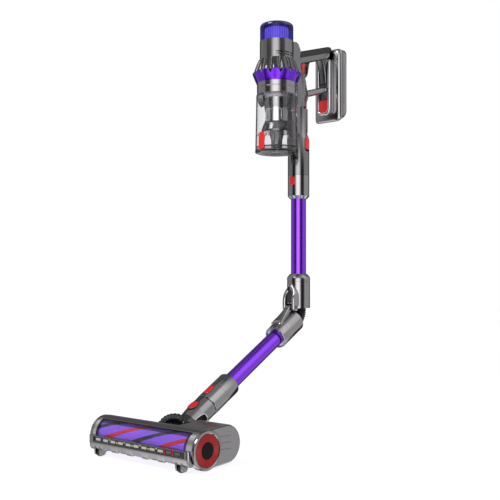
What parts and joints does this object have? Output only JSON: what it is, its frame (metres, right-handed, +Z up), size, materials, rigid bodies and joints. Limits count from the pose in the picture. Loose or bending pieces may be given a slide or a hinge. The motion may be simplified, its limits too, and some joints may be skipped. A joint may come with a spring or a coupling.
{
  "type": "cordless stick vacuum",
  "caption": "Cordless stick vacuum with a folding wand, clear cyclone bin, looped handle with rear battery, and a wide cleaner head with a windowed soft roller.",
  "frame": {"origin": "bottom centre of the whole cleaner's bounding box at rest, on the floor, in the symmetry plane of wand and handle", "axes": "+Z up along the upper wand, +X across the cleaner head to its motor side, -Y forwards to the roller"},
  "size_m": [0.282, 0.656, 0.914],
  "materials": {
    "nickel": "metallic grey lacquer on moulded plastic",
    "dark": "smoked dark grey",
    "violet_plastic": "metallised violet",
    "violet_metal": "anodised violet",
    "clear": "clear",
    "lens": "clear lens over light pads",
    "filter_shell": "translucent violet",
    "filter_media": "pleated",
    "red": "red",
    "soft_black": "matt black",
    "steel": "brushed",
    "impeller": "black",
    "velvet": "violet velvet with helical stripes",
    "cell": "wrapped",
    "board": "green"
  },
  "bodies": {
    "main_unit": {"motor_housing": "nickel", "motor_stator": "dark", "cyclone_cones": "dark", "cyclone_ring": "violet_plastic", "cyclone_collar": "nickel", "shroud_frame": "nickel", "shroud_mesh": "steel", "shroud_skirt": "dark", "core_tube": "dark", "spine_casing": "nickel", "inlet_duct": "nickel", "trim_strip": "red", "grip_frame": "nickel", "grip_cover": "soft_black", "circuit_board": "board", "strut": "nickel", "handle_foot": "nickel", "wand_collar_top": "nickel", "upper_tube": "violet_metal", "elbow_upper": "nickel", "elbow_pin": "steel", "elbow_hose": "soft_black"},
    "filter": {"filter_cap": "filter_shell", "filter_pleats": "filter_media"},
    "impeller": {"impeller": "impeller"},
    "trigger": {"trigger": "red"},
    "bin": {"bin": "clear", "lid_hinge_pin": "steel"},
    "lid": {"lid": "clear", "lid_seal": "dark"},
    "lid_latch": {"lid_latch": "red"},
    "bin_release": {"bin_release": "red"},
    "battery": {"battery_case": "nickel", "battery_cells": "cell"},
    "battery_button": {"battery_button": "red"},
    "wand_button_top": {"wand_button_top": "red"},
    "elbow_latch": {"elbow_latch": "dark"},
    "lower_wand": {"elbow_lower": "nickel", "lower_tube": "violet_metal", "wand_collar_low": "nickel", "neck_pipe": "nickel"},
    "wand_button_low": {"wand_button_low": "red"},
    "neck_button": {"neck_button": "red"},
    "neck": {"neck_yoke": "dark"},
    "head": {"head_housing": "nickel", "head_window": "clear", "end_cap_left": "nickel", "end_cap_right": "nickel", "side_cover": "nickel", "front_bar": "nickel", "light_strip": "lens", "roller_motor": "steel", "drive_belt": "soft_black", "neck_hose": "soft_black"},
    "roller_lock": {"roller_lock": "red"},
    "roller": {"roller_sleeve": "velvet", "roller_core": "impeller"},
    "motor_pulley": {"motor_pulley": "steel"},
    "front_wheels": {"front_wheels": "soft_black"},
    "rear_wheels": {"rear_wheels": "soft_black"}
  },
  "joints": [
    {"name": "elbow_fold", "type": "hinge", "parent": "main_unit", "child": "lower_wand", "pos_m": [0, 0.145, 0.2802], "axis": [1, 0, 0], "range_deg": [-29, 61], "deforming": ["elbow_hose"]},
    {"name": "elbow_latch_press", "type": "hinge", "parent": "main_unit", "child": "elbow_latch", "pos_m": [0, 0.149, 0.321], "axis": [1, 0, 0], "range_deg": [0, 6], "stiffness_Nm_per_rad": 0.3},
    {"name": "wand_button_top_press", "type": "slide", "parent": "main_unit", "child": "wand_button_top", "axis": [0, 1, 0], "range_m": [0, 0.002], "stiffness_N_per_m": 400},
    {"name": "wand_button_low_press", "type": "slide", "parent": "lower_wand", "child": "wand_button_low", "axis": [0, 0.4848, -0.8746], "range_m": [0, 0.002], "stiffness_N_per_m": 400},
    {"name": "neck_button_press", "type": "slide", "parent": "lower_wand", "child": "neck_button", "axis": [0, 0.4848, -0.8746], "range_m": [0, 0.002], "stiffness_N_per_m": 400},
    {"name": "neck_swivel", "type": "hinge", "parent": "lower_wand", "child": "neck", "pos_m": [0, -0.20503, 0.04845], "axis": [0, 0.8746, 0.4848], "range_deg": [-90, 90]},
    {"name": "neck_tilt", "type": "hinge", "parent": "neck", "child": "head", "pos_m": [0, -0.20503, 0.04845], "axis": [1, 0, 0], "range_deg": [-61, 14], "deforming": ["neck_hose"]},
    {"name": "roller_spin", "type": "hinge", "parent": "head", "child": "roller", "pos_m": [0, -0.284, 0.037], "axis": [1, 0, 0], "continuous": true},
    {"name": "motor_pulley_spin", "type": "hinge", "parent": "head", "child": "motor_pulley", "pos_m": [0, -0.228, 0.04], "axis": [1, 0, 0], "continuous": true},
    {"name": "roller_lock_turn", "type": "hinge", "parent": "head", "child": "roller_lock", "pos_m": [0, -0.284, 0.037], "axis": [1, 0, 0], "range_deg": [0, 45]},
    {"name": "front_wheels_roll", "type": "hinge", "parent": "head", "child": "front_wheels", "pos_m": [0, -0.32, 0.006], "axis": [1, 0, 0], "continuous": true},
    {"name": "rear_wheels_roll", "type": "hinge", "parent": "head", "child": "rear_wheels", "pos_m": [0, -0.227, 0.006], "axis": [1, 0, 0], "continuous": true},
    {"name": "impeller_spin", "type": "hinge", "parent": "main_unit", "child": "impeller", "pos_m": [0, 0.0954, 0.82], "axis": [0, 0, 1], "continuous": true},
    {"name": "filter_lift", "type": "slide", "parent": "main_unit", "child": "filter", "axis": [0, 0, 1], "range_m": [0, 0.06]},
    {"name": "trigger_pull", "type": "hinge", "parent": "main_unit", "child": "trigger", "pos_m": [0, 0.18, 0.85], "axis": [1, 0, 0], "range_deg": [0, 7], "stiffness_Nm_per_rad": 0.3},
    {"name": "bin_slide", "type": "slide", "parent": "main_unit", "child": "bin", "axis": [0, 0, -1], "range_m": [0, 0.12]},
    {"name": "lid_open", "type": "hinge", "parent": "bin", "child": "lid", "pos_m": [0, 0.1476, 0.633], "axis": [1, 0, 0], "range_deg": [0, 75]},
    {"name": "lid_latch_press", "type": "hinge", "parent": "bin", "child": "lid_latch", "pos_m": [0, 0.0438, 0.662], "axis": [1, 0, 0], "range_deg": [-6, 0], "stiffness_Nm_per_rad": 0.3},
    {"name": "bin_release_slide", "type": "slide", "parent": "main_unit", "child": "bin_release", "axis": [0, 0, -1], "range_m": [0, 0.004], "stiffness_N_per_m": 400},
    {"name": "battery_slide", "type": "slide", "parent": "main_unit", "child": "battery", "axis": [0, 0, -1], "range_m": [0, 0.09]},
    {"name": "battery_button_press", "type": "slide", "parent": "main_unit", "child": "battery_button", "axis": [0, 1, 0], "range_m": [0, 0.002], "stiffness_N_per_m": 400}
  ],
  "couplings": [
    {"joint": "motor_pulley_spin", "follows": "roller_spin", "ratio": 2}
  ]
}
